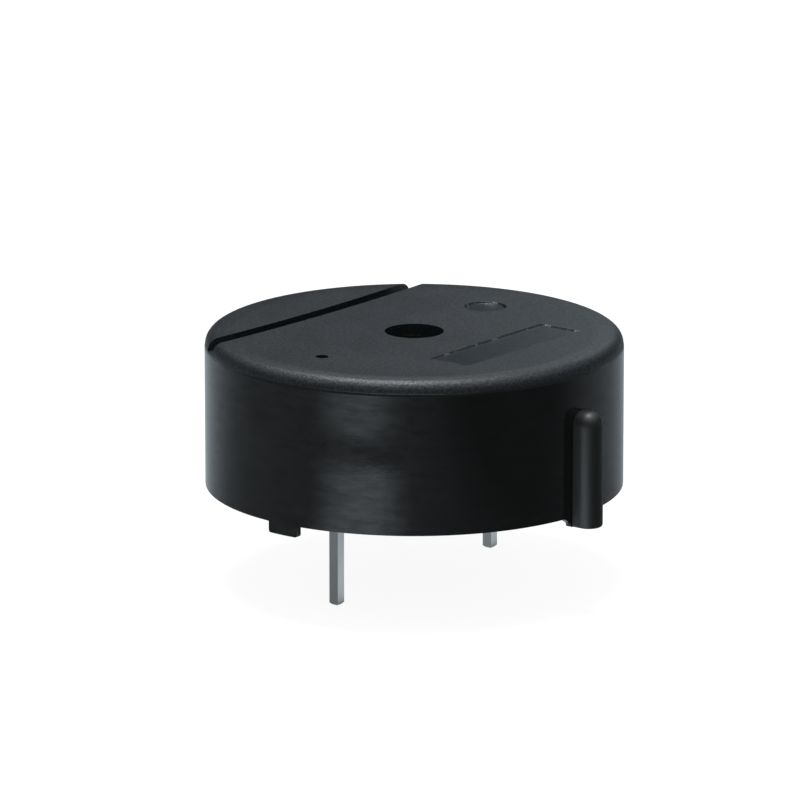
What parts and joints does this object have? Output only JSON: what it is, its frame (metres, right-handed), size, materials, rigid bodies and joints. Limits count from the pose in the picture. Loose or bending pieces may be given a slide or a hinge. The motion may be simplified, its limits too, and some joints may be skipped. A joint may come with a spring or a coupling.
{
  "type": "piezo buzzer",
  "caption": "Round black pin-type piezo sounder for a circuit board, with a sound hole in its roof and square terminal pins below.",
  "frame": {"origin": "middle of the seating plane, on the tips of the case's feet, halfway between the two terminal pins", "axes": "+Z out of the sound hole, +X along the line of the pins towards the round mark, +Y towards the groove in the top"},
  "size_m": [0.024, 0.0253, 0.0145],
  "materials": {
    "case_plastic": "fine spark-eroded grain on the top, smooth semi-matt wall",
    "base_plastic": "semi-matt",
    "brass": "rolled sheet",
    "ceramic": "fired, matt",
    "silver": "fired silver print, matt",
    "adhesive": "cured silicone",
    "tinned_metal": "matt tin plating",
    "copper": "drawn wire",
    "solder": "smooth solder"
  },
  "bodies": {
    "root": {"case": "case_plastic", "base_plate": "base_plastic", "metal_plate": "brass", "ceramic_disc": "ceramic", "silver_electrode": "silver", "adhesive_ring": "adhesive", "left_pin": "tinned_metal", "right_pin": "tinned_metal", "plate_lead": "copper", "electrode_lead": "copper", "left_pin_solder": "solder", "right_pin_solder": "solder", "plate_solder": "solder", "electrode_solder": "solder"}
  },
  "joints": []
}
